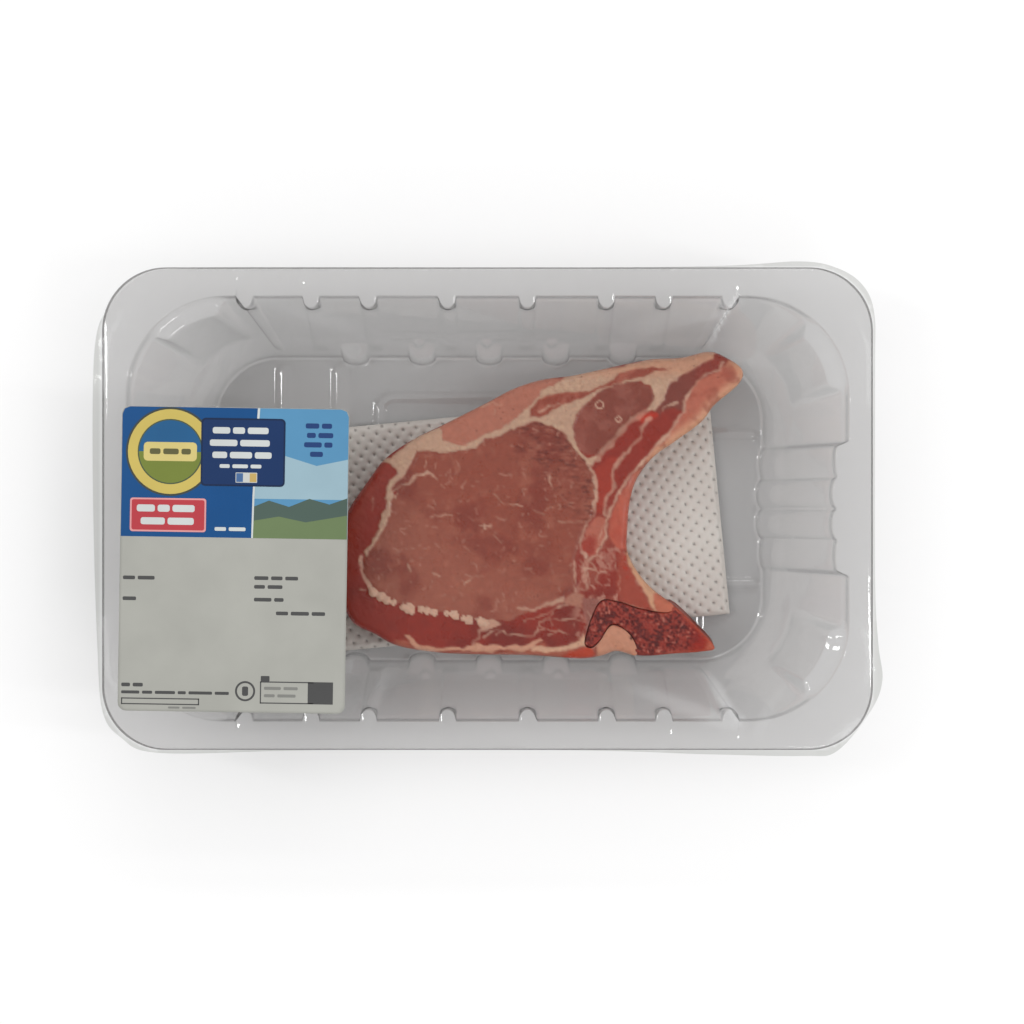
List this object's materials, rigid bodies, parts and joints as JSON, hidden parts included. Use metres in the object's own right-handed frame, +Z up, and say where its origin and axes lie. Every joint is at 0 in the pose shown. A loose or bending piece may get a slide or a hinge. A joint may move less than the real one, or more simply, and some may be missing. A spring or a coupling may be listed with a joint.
{
  "type": "sealed meat tray pack with a bone-in pork chop",
  "caption": "Shallow clear plastic tray sealed with a clear lid film and a paper label, holding a raw bone-in chop on an embossed absorbent pad.",
  "frame": {"origin": "middle of the tray's floor, on its underside, where the pack rests", "axes": "+X along the long side, away from the label; +Y across the pack, towards the side that the chop's rib end points to; +Z up through the lid film"},
  "size_m": [0.2348, 0.147, 0.037],
  "materials": {
    "clear_plastic": "clear thermoformed polyester sheet, glossy",
    "lid_film": "clear thin lid film, glossy, slightly wrinkled at the corners",
    "label_paper": "coated self-adhesive paper, printed, satin",
    "pad_white": "white embossed absorbent pad, matt",
    "raw_meat": "raw moist pork: pale lean meat with cream fat seams",
    "raw_bone": "sawn red spongy bone"
  },
  "bodies": {
    "root": {"tray": "clear_plastic", "film": "lid_film", "label": "label_paper", "pad": "pad_white", "chop": "raw_meat", "bone": "raw_bone"}
  },
  "joints": []
}
